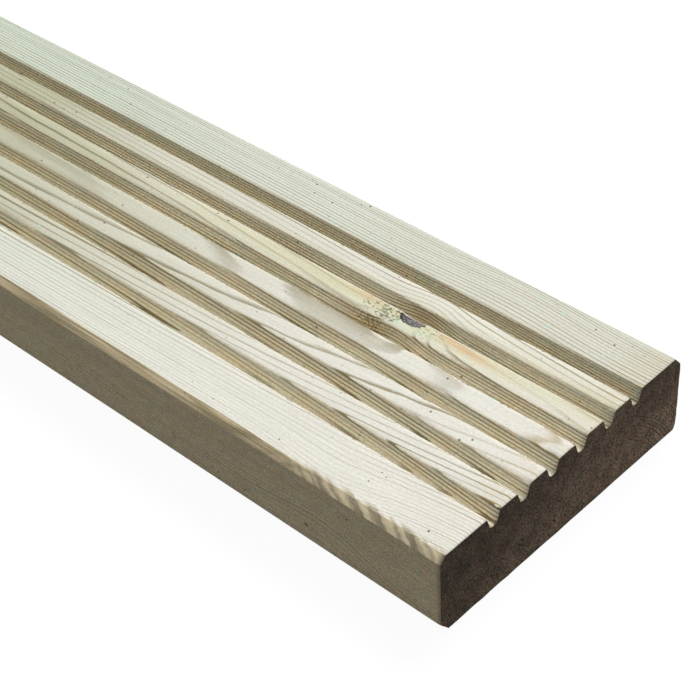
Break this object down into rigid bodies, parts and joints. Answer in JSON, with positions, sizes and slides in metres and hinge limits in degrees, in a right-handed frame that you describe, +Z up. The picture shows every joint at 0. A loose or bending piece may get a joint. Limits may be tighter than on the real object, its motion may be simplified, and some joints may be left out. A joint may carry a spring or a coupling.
{
  "type": "decking board",
  "caption": "Long planed softwood decking board with lengthwise grip grooves in its walking face, bevelled long edges and square-sawn ends.",
  "frame": {"origin": "on the underside, at the middle of the length and of the width", "axes": "+X along the board, +Y across it, +Z up from the underside to the grooved walking face"},
  "size_m": [1.8, 0.12, 0.033],
  "materials": {
    "treated_softwood": "planed and pressure-treated softwood, matte, with fine growth rings and dark sawn end grain"
  },
  "bodies": {
    "root": {"deck_board": "treated_softwood"}
  },
  "joints": []
}
